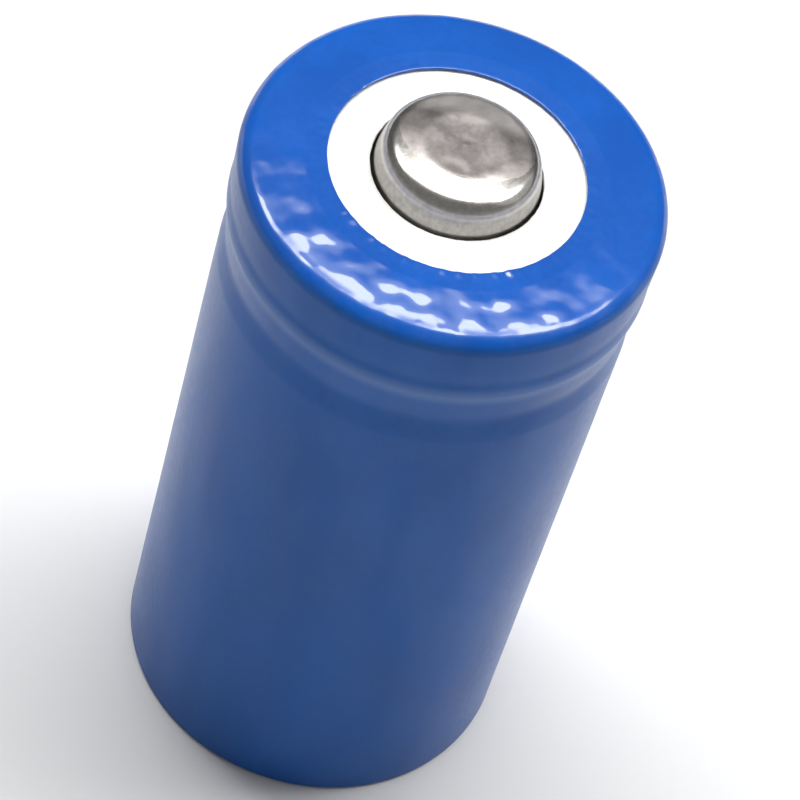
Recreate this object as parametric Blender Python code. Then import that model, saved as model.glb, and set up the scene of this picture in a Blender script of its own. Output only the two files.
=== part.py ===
"""Wrapped, button-top cylindrical lithium-ion cell, about 17 x 34 mm.

Blender 4.5, metres, +Z up. Origin: centre of the bottom, where the cell stands.
Every piece is its own object. The turned pieces are profiles spun about Z, the
sheet-metal ones get their wall by offsetting one face of the sheet, and the
ribbons and windings are strips that follow a computed path.
"""

import math

import bmesh
import bpy
from mathutils import Vector

MM = 0.001

# Driving dimensions, millimetres
SHOULDER_R = 8.50          # over the wrapped crimp
BODY_R = 8.35              # over the wrapped body
SHOULDER_Z = 32.60         # top of the folded wrap
TOTAL_H = 34.00            # top of the button
FILM = 0.10                # shrink film
WRAP_OPEN_R = 5.15         # the film's opening at the top
WRAP_FOLD_R = 6.90         # the film's opening at the bottom
WRAP_FLAT_R = 6.00         # the film lies flat on the washer out to here
SHOULDER_EDGE_Z = 32.34    # and slopes down to this height at the shoulder
SHOULDER_ROUND = 0.70      # rounding of the wrapped shoulder
SHOULDER_LOW_R, SHOULDER_LOW_Z = 8.46, 30.50   # where the shoulder band ends
CREASE_R, CREASE_Z = 8.41, 29.90   # where the film sinks a little over the bead groove
LIP_R, LIP_Z, LIP_ROUND = 8.47, 29.30, 0.30    # over the groove's lower lip
LIP_LOW_Z = 28.80
WAIST_R, WAIST_Z = 8.22, 27.30     # the can is drawn in a little below the bead
BODY_TOP_Z = 26.05         # where the straight body begins

CAN_R = 8.21               # body of the can
CAN_SHOULDER_R = 8.32      # crimped end of the can
CAN_LIP_R, CAN_LIP_Z = 8.28, 29.20 # the bead's lower lip
CAN_WAIST_R = 8.08         # drawn in below the lip
CAN_WALL = 0.25
CAN_BOTTOM_Z = 0.16
CAN_TOP_Z = 32.28          # the crimp's outer edge
CAN_RIM_R, CAN_RIM_Z = 5.60, 32.08 # inner edge of the crimped rim, pressed down a little
BEAD_R = 7.10              # floor of the bead groove
BEAD_HIGH_Z, BEAD_LOW_Z = 29.90, 29.35
CONTACT_R, CONTACT_Z = 6.00, 0.12  # flat of the bottom that a spring or plate touches, coined a little proud

WASHER_HOLE_R, WASHER_R = 3.42, 6.35
WASHER_Z, WASHER_T = 32.17, 0.26

BUTTON_R, BUTTON_LOW_Z = 3.30, 32.55  # the button's foot, just above the washer's hole
BUTTON_HIGH_R = 3.02       # drafted in to this under the crown
BUTTON_FLAT_R = 1.60       # the flat in the middle of the button's gently crowned top
BUTTON_EDGE_Z = 33.80      # the crown runs out to this height
BUTTON_ROUND = 0.72
CAP_T = 0.30
CAP_FOOT_Z = 32.15         # where the button's side turns out into its skirt
CAP_SKIRT_R = 4.70
CAP_FLANGE_Z = 31.50       # top of the flange
STACK_R = 7.48             # flange, ring and diaphragm, inside the gasket
VENT_WINDOWS = 4
VENT_WINDOW_R = 0.45
VENT_WINDOW_AT_R = 3.95

GASKET_R, GASKET_WALL_R = 8.04, 7.57
PTC_Z, PTC_T, PTC_HOLE_R = 30.94, 0.22, 5.20
DISC_T = 0.15
DISC_RIM_Z = 30.90         # top of the diaphragm's rim
DISC_CENTRE_R = 1.30       # the part that snaps up
DISC_CENTRE_Z = 29.74      # its underside, on the contact plate
CID_R, CID_HOLE_R, CID_Z, CID_T = 6.40, 5.25, 29.74, 0.95
PLATE_R, PLATE_Z, PLATE_T = 6.40, 29.35, 0.35
PLATE_HOLES, PLATE_HOLE_R, PLATE_HOLES_AT_R = 6, 0.70, 3.60

ROLL_Z0, ROLL_Z1 = 1.10, 26.20     # the separators' height
ROLL_START_R = 1.60        # hole left by the winding mandrel
ROLL_PITCH = 0.958
ROLL_TURNS = 5
CATHODE_T, ANODE_T, SEPARATOR_T = 0.33, 0.31, 0.08
ROLL_GAP = 0.04
CATHODE_MARGIN, ANODE_MARGIN = 0.90, 0.50   # the sheets are narrower than the film
ROLL_TAPE_Z0, ROLL_TAPE_Z1, ROLL_TAPE_T = 7.5, 24.5, 0.05

INSULATOR_T = 0.25
TOP_INSULATOR_Z, TOP_INSULATOR_R = 26.55, 7.75
BOTTOM_INSULATOR_Z, BOTTOM_INSULATOR_R, BOTTOM_INSULATOR_HOLE_R = 0.68, 7.25, 1.50

TAB_T = 0.12
CATHODE_TAB_W, ANODE_TAB_W = 3.0, 3.0
CATHODE_TAB_X = 4.55       # where the ribbon leaves the winding
ANODE_TAB_X = 7.56         # where the ribbon runs down the winding's side
TAPE_T = 0.05

SEG_OUT = 32               # steps round the outer pieces
SEG_IN = 24                # steps round the inner pieces
SEG_ROLL = 18              # steps a turn of the winding


# ---------------------------------------------------------------- materials

def material(name, colour, roughness, metallic=0.0):
    made = bpy.data.materials.new(name)
    made.use_nodes = True
    shader = made.node_tree.nodes["Principled BSDF"]
    shader.inputs["Base Color"].default_value = (*colour, 1.0)
    shader.inputs["Roughness"].default_value = roughness
    shader.inputs["Metallic"].default_value = metallic
    made.diffuse_color = (*colour, 1.0)
    return made


# ---------------------------------------------------------------- profiles

def rounded(corners, steps=2):
    """The points of a line whose corners (r, z, radius) are rounded to arcs of this many steps."""
    points = []
    for i, (x, z, radius) in enumerate(corners):
        here = Vector((x, z))
        if not radius or i in (0, len(corners) - 1):
            points.append(here)
            continue
        back = (Vector(corners[i - 1][:2]) - here).normalized()
        on = (Vector(corners[i + 1][:2]) - here).normalized()
        half = math.acos(max(-1.0, min(1.0, back.dot(on)))) / 2
        reach = radius / math.tan(half)
        centre = here + (back + on).normalized() * (radius / math.sin(half))
        start, end = here + back * reach - centre, here + on * reach - centre
        turn = math.atan2(start.x * end.y - start.y * end.x, start.dot(end))
        for k in range(steps + 1):
            a = turn * k / steps
            points.append(centre + Vector((start.x * math.cos(a) - start.y * math.sin(a),
                                           start.x * math.sin(a) + start.y * math.cos(a))))
    return points


def offset(points, distance):
    """The line moved to its right by this distance, with mitred corners."""
    moved = []
    for i, p in enumerate(points):
        sides = []
        if i:
            sides.append((p - points[i - 1]).normalized())
        if i + 1 < len(points):
            sides.append((points[i + 1] - p).normalized())
        normals = [Vector((d.y, -d.x)) for d in sides]
        way = sum(normals, Vector((0.0, 0.0))).normalized()
        moved.append(p + way * (distance / way.dot(normals[0])))
    return moved


def sheet(corners, thickness, steps=2):
    """A closed sheet-metal section: the outer face as given, from its first to its last corner, and the inner face to the right of it."""
    outer = rounded(corners, steps)
    inner = offset(outer, thickness)
    for line in (outer, inner):           # an end on the axis stays on it
        for end in (0, -1):
            if abs(outer[end].x) < 1e-9:
                line[end].x = 0.0
    return outer, inner


def ring_section(r0, r1, z0, z1):
    return [Vector((r0, z0)), Vector((r1, z0)), Vector((r1, z1)), Vector((r0, z1))]


# ---------------------------------------------------------------- solids

def finish(bm, name, look, smooth_angle=32.0):
    bmesh.ops.remove_doubles(bm, verts=bm.verts, dist=1e-6)
    bmesh.ops.recalc_face_normals(bm, faces=bm.faces)
    mesh = bpy.data.meshes.new(name)
    bm.to_mesh(mesh)
    bm.free()
    obj = bpy.data.objects.new(name, mesh)
    bpy.context.scene.collection.objects.link(obj)
    mesh.materials.append(look)
    mesh.shade_smooth()
    mesh.set_sharp_from_angle(angle=math.radians(smooth_angle))
    return obj


def turned(name, section, look, segments, closed=True, origin_z=0.0):
    """Spins a section, points (r, z) in millimetres, about Z. A section that starts and ends on the axis isn't closed."""
    bm = bmesh.new()
    verts = [bm.verts.new((p.x * MM, 0.0, (p.y - origin_z) * MM)) for p in section]
    pairs = list(zip(verts, verts[1:])) + ([(verts[-1], verts[0])] if closed else [])
    edges = [bm.edges.new(pair) for pair in pairs]
    bmesh.ops.spin(bm, geom=verts + edges, axis=(0, 0, 1), cent=(0, 0, 0),
                   steps=segments, angle=math.tau)
    made = finish(bm, name, look)
    made.location.z = origin_z * MM
    return made


def turned_sheet(name, corners, thickness, look, segments, steps=2):
    outer, inner = sheet(corners, thickness, steps)
    on_axis = abs(outer[-1].x) < 1e-9
    if on_axis:                            # spun from one end of the outer face to the other end of the inner face
        section = outer[::-1] + inner
        return turned(name, section, look, segments, closed=False)
    return turned(name, outer + inner[::-1], look, segments)


def disc(name, radius, z, thickness, look, segments):
    """A flat round plate."""
    bm = bmesh.new()
    bmesh.ops.create_cone(bm, cap_ends=True, segments=segments,
                          radius1=radius * MM, radius2=radius * MM, depth=thickness * MM)
    bmesh.ops.translate(bm, verts=bm.verts, vec=(0, 0, (z + thickness / 2) * MM))
    return finish(bm, name, look)


def strip(name, left, right, z0, z1, look):
    """A wall between two matching lines of (x, y) points, from z0 to z1."""
    bm = bmesh.new()
    rows = [[bm.verts.new((p[0] * MM, p[1] * MM, z * MM)) for p in line]
            for z in (z0, z1) for line in (left, right)]
    low_left, low_right, high_left, high_right = rows
    for i in range(len(left) - 1):
        for a, b in ((low_left, low_right), (low_right, high_right),
                     (high_right, high_left), (high_left, low_left)):
            bm.faces.new((a[i], b[i], b[i + 1], a[i + 1]))
    for i in (0, -1):
        bm.faces.new((low_left[i], high_left[i], high_right[i], low_right[i]))
    return finish(bm, name, look)


def spiral(start_r, pitch, turns, segments, first=0.0):
    """Points of a spiral that widens by pitch a turn."""
    return [((start_r + pitch * k / segments) * math.cos(math.tau * k / segments + first),
             (start_r + pitch * k / segments) * math.sin(math.tau * k / segments + first))
            for k in range(int(turns * segments) + 1)]


def wound(name, depth, thickness, z0, z1, look):
    """One strip of the winding, lying this deep in the pack of strips that is wound up together."""
    return strip(name,
                 spiral(ROLL_START_R + depth, ROLL_PITCH, ROLL_TURNS, SEG_ROLL),
                 spiral(ROLL_START_R + depth + thickness, ROLL_PITCH, ROLL_TURNS, SEG_ROLL),
                 z0, z1, look)


def ribbon(name, path, thickness, width, look):
    """A flat ribbon, this wide across Y, whose middle follows a path of rounded (x, z, radius) corners."""
    middle = rounded(path, 4)
    upper, lower = offset(middle, -thickness / 2), offset(middle, thickness / 2)
    bm = bmesh.new()
    rows = [[bm.verts.new((p.x * MM, y * MM, p.y * MM)) for p in line]
            for y in (-width / 2, width / 2) for line in (upper, lower)]
    a, b, c, d = rows                      # near upper, near lower, far upper, far lower
    for i in range(len(middle) - 1):
        for p, q in ((a, b), (b, d), (d, c), (c, a)):
            bm.faces.new((p[i], q[i], q[i + 1], p[i + 1]))
    for i in (0, -1):
        bm.faces.new((a[i], c[i], d[i], b[i]))
    return finish(bm, name, look)


def cutter(name, made):
    made.name = name
    made.hide_render = True
    made.display_type = "WIRE"
    return made


def round_cutter(name, x, y, radius, z0, z1, segments=12):
    bm = bmesh.new()
    bmesh.ops.create_cone(bm, cap_ends=True, segments=segments,
                          radius1=radius * MM, radius2=radius * MM, depth=(z1 - z0) * MM)
    bmesh.ops.translate(bm, verts=bm.verts, vec=(x * MM, y * MM, (z0 + z1) / 2 * MM))
    return cutter(name, finish(bm, name, CUTTER))


def box_cutter(name, x0, x1, y0, y1, z0, z1):
    bm = bmesh.new()
    bmesh.ops.create_cube(bm, size=1.0)
    bmesh.ops.scale(bm, verts=bm.verts, vec=((x1 - x0) * MM, (y1 - y0) * MM, (z1 - z0) * MM))
    bmesh.ops.translate(bm, verts=bm.verts,
                        vec=((x0 + x1) / 2 * MM, (y0 + y1) / 2 * MM, (z0 + z1) / 2 * MM))
    return cutter(name, finish(bm, name, CUTTER))


def cut(obj, *cutters):
    for tool in cutters:
        made = obj.modifiers.new("cut_" + tool.name, "BOOLEAN")
        made.operation = "DIFFERENCE"
        made.solver = "EXACT"
        made.object = tool


# ---------------------------------------------------------------- the cell

for old in list(bpy.data.objects):
    bpy.data.objects.remove(old, do_unlink=True)

BLUE_FILM = material("blue_shrink_film", (0.012, 0.115, 0.560), 0.18)
WHITE_BOARD = material("white_fibre_board", (0.93, 0.93, 0.90), 0.75)
NICKEL = material("nickel_plated_steel", (0.62, 0.61, 0.58), 0.26, 1.0)
CAN_STEEL = material("can_steel", (0.56, 0.56, 0.55), 0.30, 1.0)
SEAL = material("seal_polypropylene", (0.72, 0.74, 0.72), 0.45)
PTC_LOOK = material("ptc_polymer", (0.06, 0.06, 0.065), 0.55)
ALUMINIUM = material("aluminium_sheet", (0.78, 0.79, 0.80), 0.32, 1.0)
DIAPHRAGM = material("diaphragm_aluminium", (0.80, 0.81, 0.82), 0.28, 1.0)
INNER_BOARD = material("insulator_sheet", (0.85, 0.84, 0.78), 0.6)
CID_LOOK = material("cid_insulator_polymer", (0.15, 0.30, 0.55), 0.5)
CATHODE_LOOK = material("cathode_coating", (0.030, 0.030, 0.034), 0.75)
ANODE_LOOK = material("anode_coating", (0.055, 0.055, 0.060), 0.65)
SEPARATOR_LOOK = material("separator_film", (0.90, 0.91, 0.92), 0.5)
GREEN_TAPE = material("winding_tape_film", (0.10, 0.42, 0.20), 0.35)
POLYIMIDE = material("polyimide_tape", (0.75, 0.33, 0.03), 0.3)
TAB_ALUMINIUM = material("tab_aluminium", (0.80, 0.81, 0.82), 0.35, 1.0)
TAB_NICKEL = material("tab_nickel", (0.66, 0.63, 0.57), 0.35, 1.0)
CUTTER = material("cutter", (1.0, 0.0, 1.0), 0.5)

# The wrap. It follows the crimped shoulder, sinks over the bead, rises over the bead's lower lip,
# follows the waist below it and is folded in at both ends.
sleeve_outer, sleeve_inner = sheet([
    (WRAP_OPEN_R, SHOULDER_Z, 0),
    (WRAP_FLAT_R, SHOULDER_Z, 0),
    (SHOULDER_R, SHOULDER_EDGE_Z, SHOULDER_ROUND),
    (SHOULDER_LOW_R, SHOULDER_LOW_Z, 0.15),
    (CREASE_R, CREASE_Z, 0),
    (LIP_R, LIP_Z, LIP_ROUND),
    (LIP_R, LIP_LOW_Z, 0),
    (WAIST_R, WAIST_Z, 0),
    (BODY_R, BODY_TOP_Z, 0),
    (BODY_R, 0.0, 0.22),
    (WRAP_FOLD_R, 0.0, 0)], FILM)
turned("heat_shrink_sleeve", sleeve_outer + sleeve_inner[::-1], BLUE_FILM, SEG_OUT)

turned("insulating_washer",
       ring_section(WASHER_HOLE_R, WASHER_R, WASHER_Z, WASHER_Z + WASHER_T), WHITE_BOARD, SEG_OUT)

# The can: crimped rim, shoulder, bead groove, body and bottom, drawn from one sheet.
turned_sheet("cell_can", [
    (CAN_RIM_R, CAN_RIM_Z, 0),
    (CAN_SHOULDER_R, CAN_TOP_Z, 0.60),
    (CAN_SHOULDER_R, 30.20, 0.30),
    (BEAD_R, BEAD_HIGH_Z, 0.28),
    (BEAD_R, BEAD_LOW_Z, 0.28),
    (CAN_LIP_R, CAN_LIP_Z, 0.30),
    (CAN_WAIST_R, WAIST_Z, 0),
    (CAN_R, BODY_TOP_Z, 0),
    (CAN_R, CAN_BOTTOM_Z, 0.50),
    (CONTACT_R + 0.3, CAN_BOTTOM_Z, 0),
    (CONTACT_R, CONTACT_Z, 0),
    (0.0, CONTACT_Z, 0)], CAN_WALL, CAN_STEEL, SEG_OUT)

# The seal: a channel that holds the edge of the cap's stack between the bead and the crimp.
turned("crimp_gasket", rounded([
    (6.60, 30.24, 0),
    (GASKET_R, 30.45, 0.12),
    (GASKET_R, 31.78, 0.50),
    (5.45, 31.78, 0),
    (5.45, 31.54, 0),
    (GASKET_WALL_R, 31.54, 0),
    (GASKET_WALL_R, 30.70, 0),
    (6.60, 30.70, 0)]), SEAL, SEG_OUT)

# The positive cap: button, flared skirt with gas windows, flange.
cap_outer, cap_inner = sheet([
    (0.0, TOTAL_H, 0),
    (BUTTON_FLAT_R, TOTAL_H, 0),
    (BUTTON_HIGH_R, BUTTON_EDGE_Z, BUTTON_ROUND),
    (BUTTON_R, BUTTON_LOW_Z, 0),
    (BUTTON_R, CAP_FOOT_Z, 0.25),
    (CAP_SKIRT_R, CAP_FLANGE_Z, 0.25),
    (STACK_R, CAP_FLANGE_Z, 0)], CAP_T)
cap = turned("positive_cap", cap_inner[:1] + cap_inner[1:] + cap_outer[::-1], NICKEL, SEG_OUT, closed=False)
cut(cap, *[round_cutter(f"window_{k}",
                        VENT_WINDOW_AT_R * math.cos(math.tau * (k + 0.5) / VENT_WINDOWS),
                        VENT_WINDOW_AT_R * math.sin(math.tau * (k + 0.5) / VENT_WINDOWS),
                        VENT_WINDOW_R, 31.0, 32.6)
           for k in range(VENT_WINDOWS)])

turned("ptc_ring", ring_section(PTC_HOLE_R, STACK_R, PTC_Z, PTC_Z + PTC_T), PTC_LOOK, SEG_OUT)

# The current-interrupt diaphragm. Its rim is clamped in the stack and its centre is welded to
# the contact plate until gas pressure lifts it.
disc_outer, disc_inner = sheet([
    (DISC_CENTRE_R + 0.05, 30.02, 0),
    (4.15, 30.14, 0.25),
    (4.95, DISC_RIM_Z, 0.25),
    (STACK_R, DISC_RIM_Z, 0)], DISC_T)
turned("vent_disc", disc_outer + disc_inner[::-1], DIAPHRAGM, SEG_IN)
turned("vent_disc_centre", [
    Vector((0.0, DISC_CENTRE_Z)),
    Vector((0.90, DISC_CENTRE_Z)),
    Vector((DISC_CENTRE_R, DISC_CENTRE_Z + 0.12)),
    Vector((DISC_CENTRE_R, DISC_CENTRE_Z + 0.27)),
    Vector((0.90, DISC_CENTRE_Z + 0.27)),
    Vector((0.75, DISC_CENTRE_Z + 0.15)),
    Vector((0.0, DISC_CENTRE_Z + 0.15))], DIAPHRAGM, SEG_IN, closed=False, origin_z=DISC_CENTRE_Z)

turned("cid_insulator", ring_section(CID_HOLE_R, CID_R, CID_Z, CID_Z + CID_T), CID_LOOK, SEG_IN)

plate = disc("contact_plate", PLATE_R, PLATE_Z, PLATE_T, ALUMINIUM, SEG_IN)
cut(plate, *[round_cutter(f"gas_hole_{k}",
                          PLATE_HOLES_AT_R * math.cos(math.tau * (k + 0.5) / PLATE_HOLES),
                          PLATE_HOLES_AT_R * math.sin(math.tau * (k + 0.5) / PLATE_HOLES),
                          PLATE_HOLE_R, PLATE_Z - 0.3, PLATE_Z + PLATE_T + 0.3, 10)
             for k in range(PLATE_HOLES)])

# The winding: cathode, separator, anode, separator, wound up together.
depth = 0.0
for name, thickness, margin, look in (
        ("cathode_sheet", CATHODE_T, CATHODE_MARGIN, CATHODE_LOOK),
        ("separator_inner", SEPARATOR_T, 0.0, SEPARATOR_LOOK),
        ("anode_sheet", ANODE_T, ANODE_MARGIN, ANODE_LOOK),
        ("separator_outer", SEPARATOR_T, 0.0, SEPARATOR_LOOK)):
    wound(name, depth, thickness, ROLL_Z0 + margin, ROLL_Z1 - margin, look)
    depth += thickness + ROLL_GAP

tape_r = ROLL_START_R + ROLL_PITCH * ROLL_TURNS + depth + 0.03
tape_pitch = (ROLL_TAPE_T + 0.03)
strip("winding_tape",
      spiral(tape_r, tape_pitch, 1.05, SEG_ROLL),
      spiral(tape_r + ROLL_TAPE_T, tape_pitch, 1.05, SEG_ROLL),
      ROLL_TAPE_Z0, ROLL_TAPE_Z1, GREEN_TAPE)

# The insulating discs over and under the winding.
top_disc = disc("top_insulator", TOP_INSULATOR_R, TOP_INSULATOR_Z, INSULATOR_T, INNER_BOARD, SEG_IN)
cut(top_disc,
    round_cutter("mandrel_hole", 0.0, 0.0, 1.3, TOP_INSULATOR_Z - 0.3, TOP_INSULATOR_Z + 0.6),
    box_cutter("tab_slot", CATHODE_TAB_X - 0.35, CATHODE_TAB_X + 0.35,
               -CATHODE_TAB_W / 2 - 0.45, CATHODE_TAB_W / 2 + 0.45,
               TOP_INSULATOR_Z - 0.3, TOP_INSULATOR_Z + 0.6),
    *[round_cutter(f"fill_hole_{k}", 4.4 * math.cos(a), 4.4 * math.sin(a), 0.75,
                   TOP_INSULATOR_Z - 0.3, TOP_INSULATOR_Z + 0.6, 10)
      for k, a in enumerate((math.radians(110), math.radians(180), math.radians(250)))])
turned("bottom_insulator",
       ring_section(BOTTOM_INSULATOR_HOLE_R, BOTTOM_INSULATOR_R,
                    BOTTOM_INSULATOR_Z, BOTTOM_INSULATOR_Z + INSULATOR_T), INNER_BOARD, SEG_IN)

# The positive ribbon: out of the winding, through the slot, folded back under the contact plate.
weld_z = PLATE_Z - 0.04 - TAB_T / 2
ribbon("cathode_tab", [
    (CATHODE_TAB_X, ROLL_Z1 + 0.05, 0),
    (CATHODE_TAB_X, 28.00, 0.55),
    (-3.10, 28.25, 0.50),
    (-3.10, weld_z, 0.50),
    (1.40, weld_z, 0)], TAB_T, CATHODE_TAB_W, TAB_ALUMINIUM)
ribbon("cathode_tab_tape", [
    (CATHODE_TAB_X + TAB_T / 2 + 0.04 + TAPE_T / 2, ROLL_Z1 + 0.08, 0),
    (CATHODE_TAB_X + TAB_T / 2 + 0.04 + TAPE_T / 2, 27.45, 0)], TAPE_T, CATHODE_TAB_W + 0.5, POLYIMIDE)

# The negative ribbon: down the side of the winding and under it to the middle of the bottom.
under_z = CAN_BOTTOM_Z + CAN_WALL + 0.05 + TAB_T / 2
ribbon("anode_tab", [
    (ANODE_TAB_X, 5.60, 0),
    (ANODE_TAB_X, under_z, 0.12),
    (-1.40, under_z, 0)], TAB_T, ANODE_TAB_W, TAB_NICKEL)
ribbon("anode_tab_tape", [
    (ANODE_TAB_X + TAB_T / 2 + 0.04 + TAPE_T / 2, 1.20, 0),
    (ANODE_TAB_X + TAB_T / 2 + 0.04 + TAPE_T / 2, 5.20, 0)], TAPE_T, ANODE_TAB_W + 0.3, POLYIMIDE)
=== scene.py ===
import math

import bpy
from mathutils import Matrix, Vector, noise


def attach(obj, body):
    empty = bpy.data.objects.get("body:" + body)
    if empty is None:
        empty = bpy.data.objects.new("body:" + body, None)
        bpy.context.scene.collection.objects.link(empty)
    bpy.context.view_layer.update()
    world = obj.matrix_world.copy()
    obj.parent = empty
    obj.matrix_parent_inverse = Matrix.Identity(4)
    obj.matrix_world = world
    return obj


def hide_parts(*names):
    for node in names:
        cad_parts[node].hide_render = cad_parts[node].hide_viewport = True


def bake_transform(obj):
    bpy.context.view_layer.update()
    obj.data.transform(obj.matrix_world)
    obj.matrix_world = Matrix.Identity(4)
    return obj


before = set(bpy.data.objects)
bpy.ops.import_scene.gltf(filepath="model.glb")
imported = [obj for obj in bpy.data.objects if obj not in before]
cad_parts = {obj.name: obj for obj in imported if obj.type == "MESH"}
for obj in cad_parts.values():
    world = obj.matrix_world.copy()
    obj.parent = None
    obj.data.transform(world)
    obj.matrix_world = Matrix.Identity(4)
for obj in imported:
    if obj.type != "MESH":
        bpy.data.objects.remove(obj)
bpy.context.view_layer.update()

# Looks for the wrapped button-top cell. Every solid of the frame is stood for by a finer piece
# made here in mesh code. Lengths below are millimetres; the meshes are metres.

MM = 0.001
TAU = math.tau


# ---------------------------------------------------------------- camera

def place_camera():
    """Looks down at the cell at its own angle, turned about its line of sight."""
    data = bpy.data.cameras.new("view_camera")
    camera = bpy.data.objects.new("view_camera", data)
    bpy.context.scene.collection.objects.link(camera)
    eye = Vector((0.0, -95.151, 137.653)) * MM
    target = Vector((0.577, 0.0, 17.863)) * MM
    roll = 0.30968
    forward = (target - eye).normalized()
    right = forward.cross(Vector((0, 0, 1))).normalized()
    up = right.cross(forward)
    across = right * math.cos(roll) + up * math.sin(roll)
    above = up * math.cos(roll) - right * math.sin(roll)
    turn = Matrix((across, above, -forward)).transposed().to_4x4()
    camera.matrix_world = Matrix.Translation(eye) @ turn
    data.sensor_width = 36.0
    data.lens = 165.745
    data.clip_start, data.clip_end = 0.005, 20.0
    bpy.context.scene.camera = camera


# ---------------------------------------------------------------- lines and sections

def smooth(a, b, x):
    """0 before a, 1 after b, and an even rise between."""
    t = min(1.0, max(0.0, (x - a) / (b - a)))
    return t * t * (3 - 2 * t)


def rounded(corners, degrees=5.0):
    """A line through corners (r, z, radius), with each corner turned in arcs of small steps."""
    points = []
    for i, (x, z, radius) in enumerate(corners):
        here = Vector((x, z))
        if not radius or i in (0, len(corners) - 1):
            points.append(here)
            continue
        back = (Vector(corners[i - 1][:2]) - here).normalized()
        on = (Vector(corners[i + 1][:2]) - here).normalized()
        half = math.acos(max(-1.0, min(1.0, back.dot(on)))) / 2
        reach = radius / math.tan(half)
        centre = here + (back + on).normalized() * (radius / math.sin(half))
        start, end = here + back * reach - centre, here + on * reach - centre
        turn = math.atan2(start.x * end.y - start.y * end.x, start.dot(end))
        steps = max(3, math.ceil(abs(math.degrees(turn)) / degrees))
        for k in range(steps + 1):
            a = turn * k / steps
            points.append(centre + Vector((start.x * math.cos(a) - start.y * math.sin(a),
                                           start.x * math.sin(a) + start.y * math.cos(a))))
    return points


def fine(points, step):
    """The line with no stretch longer than step(point), which may be a number."""
    size = step if callable(step) else (lambda p: step)
    out = [points[0]]
    for a, b in zip(points, points[1:]):
        n = max(1, math.ceil((b - a).length / size((a + b) / 2)))
        out += [a.lerp(b, k / n) for k in range(1, n + 1)]
    return out


def offset(points, distance):
    """The line moved to its right by this distance, with mitred corners."""
    moved = []
    for i, p in enumerate(points):
        sides = []
        if i and (p - points[i - 1]).length > 1e-9:
            sides.append((p - points[i - 1]).normalized())
        if i + 1 < len(points) and (points[i + 1] - p).length > 1e-9:
            sides.append((points[i + 1] - p).normalized())
        normals = [Vector((d.y, -d.x)) for d in sides]
        way = sum(normals, Vector((0.0, 0.0))).normalized()
        moved.append(p + way * (distance / max(0.3, way.dot(normals[0]))))
    return moved


def round_end(a, b, steps=6):
    """Points of a half circle from a to b, bulging to the left of the way from a to b."""
    centre, arm = (a + b) / 2, (a - b) / 2
    return [centre + Vector((arm.x * math.cos(t) + arm.y * math.sin(t),
                             arm.y * math.cos(t) - arm.x * math.sin(t)))
            for t in (math.pi * k / steps for k in range(1, steps))]


# ---------------------------------------------------------------- meshes

PIECES = {}


def piece(name, mesh, looks, nodes, sharp=32.0, body="root"):
    obj = bpy.data.objects.new(name, mesh)
    bpy.context.scene.collection.objects.link(obj)
    for look in (looks if isinstance(looks, (list, tuple)) else [looks]):
        mesh.materials.append(look)
    mesh.shade_smooth()
    mesh.set_sharp_from_angle(angle=math.radians(sharp))
    if body:
        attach(obj, body)
    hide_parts(*nodes)
    PIECES[name] = obj
    return obj


def build_mesh(name, verts, faces, kinds=None):
    mesh = bpy.data.meshes.new(name)
    mesh.from_pydata([tuple(v) for v in verts], [], faces)
    if kinds:
        mesh.polygons.foreach_set("material_index", kinds)
    mesh.validate()
    mesh.update()
    return mesh


def lathe(name, section, segments, closed=True, relief=None):
    """Turns a section about Z. Points on the axis become poles. relief(r, z, angle, nr, nz) gives each point's own (r, z)."""
    n = len(section)
    normals = []
    for i, p in enumerate(section):
        before = section[i - 1] if (i or closed) else p
        after = section[(i + 1) % n] if (i + 1 < n or closed) else p
        d = (after - before)
        d = d.normalized() if d.length > 1e-12 else Vector((1, 0))
        normals.append((d.y, -d.x))
    verts, index = [], []
    for i, p in enumerate(section):
        if abs(p.x) < 1e-7:
            index.append([len(verts)] * segments)
            verts.append((0.0, 0.0, p.y * MM))
            continue
        row = []
        for k in range(segments):
            a = TAU * k / segments
            r, z = p
            if relief:
                r, z = relief(p.x, p.y, a, *normals[i])
            row.append(len(verts))
            verts.append((r * math.cos(a) * MM, r * math.sin(a) * MM, z * MM))
        index.append(row)
    faces = []
    for i in range(n if closed else n - 1):
        low, high = index[i], index[(i + 1) % n]
        for k in range(segments):
            m = (k + 1) % segments
            quad = [low[k], low[m], high[m], high[k]]
            loop = [v for j, v in enumerate(quad) if v != quad[j - 1]]
            if len(loop) > 2:
                faces.append(loop)
    mesh = build_mesh(name, verts, faces)
    face_out(mesh)
    return mesh


def face_out(mesh):
    """Turns every face of a closed mesh outwards."""
    import bmesh
    bm = bmesh.new()
    bm.from_mesh(mesh)
    bmesh.ops.recalc_face_normals(bm, faces=bm.faces)
    bm.to_mesh(mesh)
    bm.free()


def sheet_section(corners, wall, step=0.25, degrees=5.0, round_first=True, round_last=True):
    """A closed sheet section with softened free ends, the outer face as given."""
    outer = fine(rounded(corners, degrees), step)
    inner = offset(outer, wall)
    for line in (outer, inner):
        for end in (0, -1):
            if abs(outer[end].x) < 1e-9:
                line[end].x = 0.0
    last = round_end(outer[-1], inner[-1]) if round_last and outer[-1].x > 1e-6 else []
    first = round_end(inner[0], outer[0]) if round_first and outer[0].x > 1e-6 else []
    return outer, last, inner[::-1], first


def soft_ring(r0, r1, z0, z1, soft, degrees=15.0, step=0.3):
    """The section of a flat ring with softened edges."""
    line = rounded([((r0 + r1) / 2, z0, 0), (r1, z0, soft), (r1, z1, soft), (r0, z1, soft),
                    (r0, z0, soft), ((r0 + r1) / 2, z0, 0)], degrees)
    return fine(line, step)[:-1]


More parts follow.
